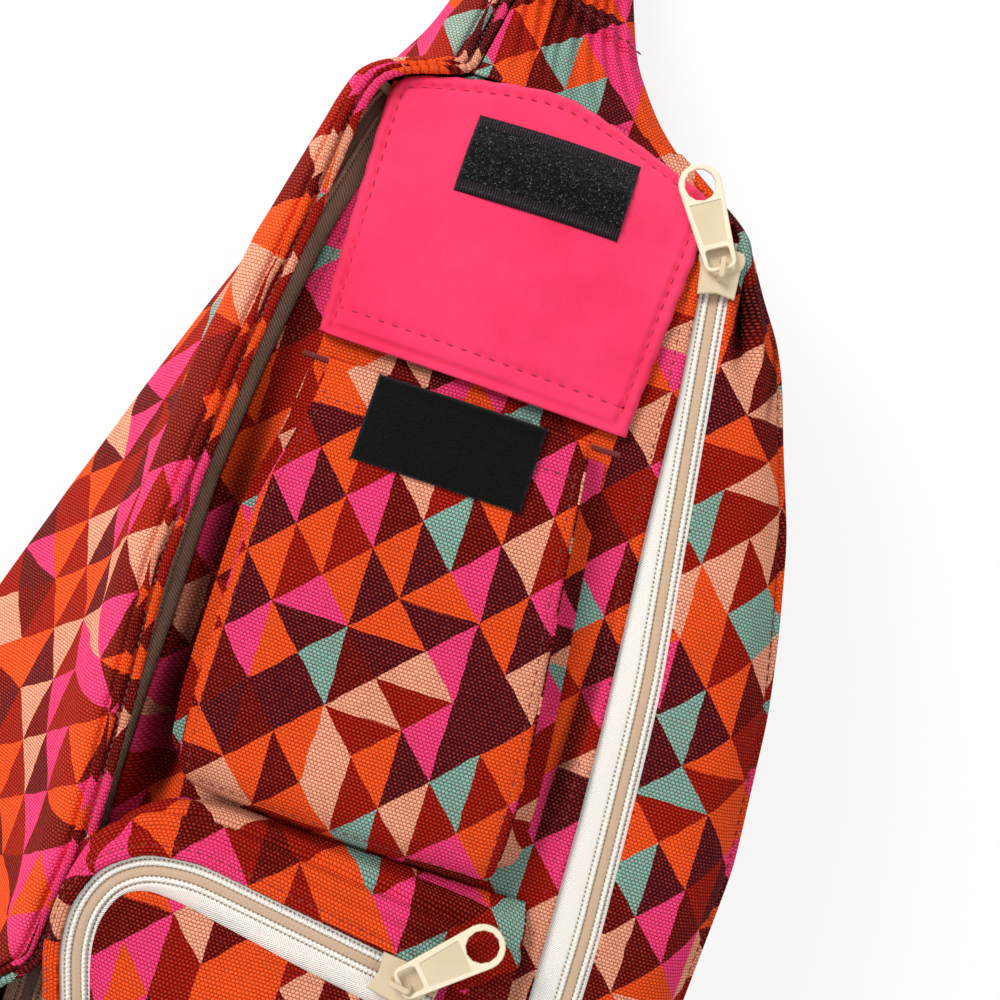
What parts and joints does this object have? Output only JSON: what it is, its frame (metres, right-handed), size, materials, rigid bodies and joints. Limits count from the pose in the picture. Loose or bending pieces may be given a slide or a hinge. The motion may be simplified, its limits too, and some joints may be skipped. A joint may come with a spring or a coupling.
{
  "type": "sling backpack",
  "caption": "One-strap sling backpack lying on its back, with zipped main compartments, an open-flap phone pocket with hook and loop patches, and a zipped lower pocket.",
  "frame": {"origin": "middle of the underside of the whole part, on the floor it lies on", "axes": "+X to the bag's right as seen from the front, +Y from the bottom of the bag to its neck, +Z out of the front panel, away from the floor"},
  "size_m": [0.3728, 0.5614, 0.121],
  "materials": {
    "printed_canvas": "canvas printed with quilted squares of four triangles in reds, oranges, pinks, tan and grey green",
    "pink_lining": "smooth hot pink lining cloth",
    "lining": "thin dark red lining cloth",
    "foam": "grey foam padding, hidden",
    "black_pile": "matt black hook or loop pile",
    "cream_tape": "cream zip tape with its coil",
    "taupe_tape": "brown zip tape with its coil",
    "cream_enamel": "cream enamel on cast metal",
    "thread": "dark red sewing thread",
    "plastic": "dark maroon moulded plastic",
    "webbing": "dark red ribbed webbing"
  },
  "bodies": {
    "bag": {"back_panel": "printed_canvas", "back_foam_pad": "foam", "back_lining": "lining", "front_panel": "printed_canvas", "left_side_panel": "printed_canvas", "right_front_strip": "printed_canvas", "right_side_panel": "printed_canvas", "bottom_panel": "printed_canvas", "neck_panel": "printed_canvas", "divider_panel": "lining", "right_zip_left_tape": "cream_tape", "right_zip_right_tape": "cream_tape", "right_zip_stop": "cream_enamel", "left_zip_left_tape": "taupe_tape", "left_zip_right_tape": "taupe_tape", "left_zip_stop": "cream_enamel", "lower_zip_outer_tape": "cream_tape", "lower_zip_inner_tape": "cream_tape", "lower_zip_stop": "cream_enamel", "phone_pocket_front": "printed_canvas", "phone_pocket_gusset": "printed_canvas", "bartack_left": "thread", "bartack_right": "thread", "flap_shell": "printed_canvas", "flap_lining": "pink_lining", "hook_patch": "black_pile", "loop_patch": "black_pile", "lower_pocket_band": "printed_canvas", "lower_pocket_front": "printed_canvas", "strap_back_cover": "printed_canvas", "strap_foam": "foam", "strap_top_cover": "printed_canvas", "ladder_lock": "plastic", "strap_tab": "webbing", "webbing": "webbing", "strap_wing": "printed_canvas"},
    "right_slider": {"right_zip_slider": "cream_enamel"},
    "right_puller": {"right_zip_puller": "cream_enamel"},
    "left_slider": {"left_zip_slider": "cream_enamel"},
    "left_puller": {"left_zip_puller": "cream_enamel"},
    "lower_slider": {"lower_zip_slider": "cream_enamel"},
    "lower_puller": {"lower_zip_puller": "cream_enamel"}
  },
  "joints": [
    {"name": "right_zip_slide", "type": "slide", "parent": "bag", "child": "right_slider", "axis": [0.1387, -0.9872, 0.0784], "range_m": [0, 0.108]},
    {"name": "right_puller_hinge", "type": "hinge", "parent": "right_slider", "child": "right_puller", "pos_m": [0.12558, 0.04588, 0.09747], "axis": [0.8483, 0.5286, -0.0319], "range_deg": [0, 150]},
    {"name": "left_zip_slide", "type": "slide", "parent": "bag", "child": "left_slider", "axis": [-0.0123, 0.9999, 0], "range_m": [0, 0.135]},
    {"name": "left_puller_hinge", "type": "hinge", "parent": "left_slider", "child": "left_puller", "pos_m": [-0.0032, -0.23872, 0.0952], "axis": [0.9999, 0.0123, 0], "range_deg": [-90, 0]},
    {"name": "lower_zip_slide", "type": "slide", "parent": "bag", "child": "lower_slider", "axis": [-0.9911, 0.133, 0.0031], "range_m": [0, 0.052]},
    {"name": "lower_puller_hinge", "type": "hinge", "parent": "lower_slider", "child": "lower_puller", "pos_m": [0.10098, -0.17825, 0.11861], "axis": [0.6865, -0.7271, -0.0024], "range_deg": [0, 120]}
  ]
}
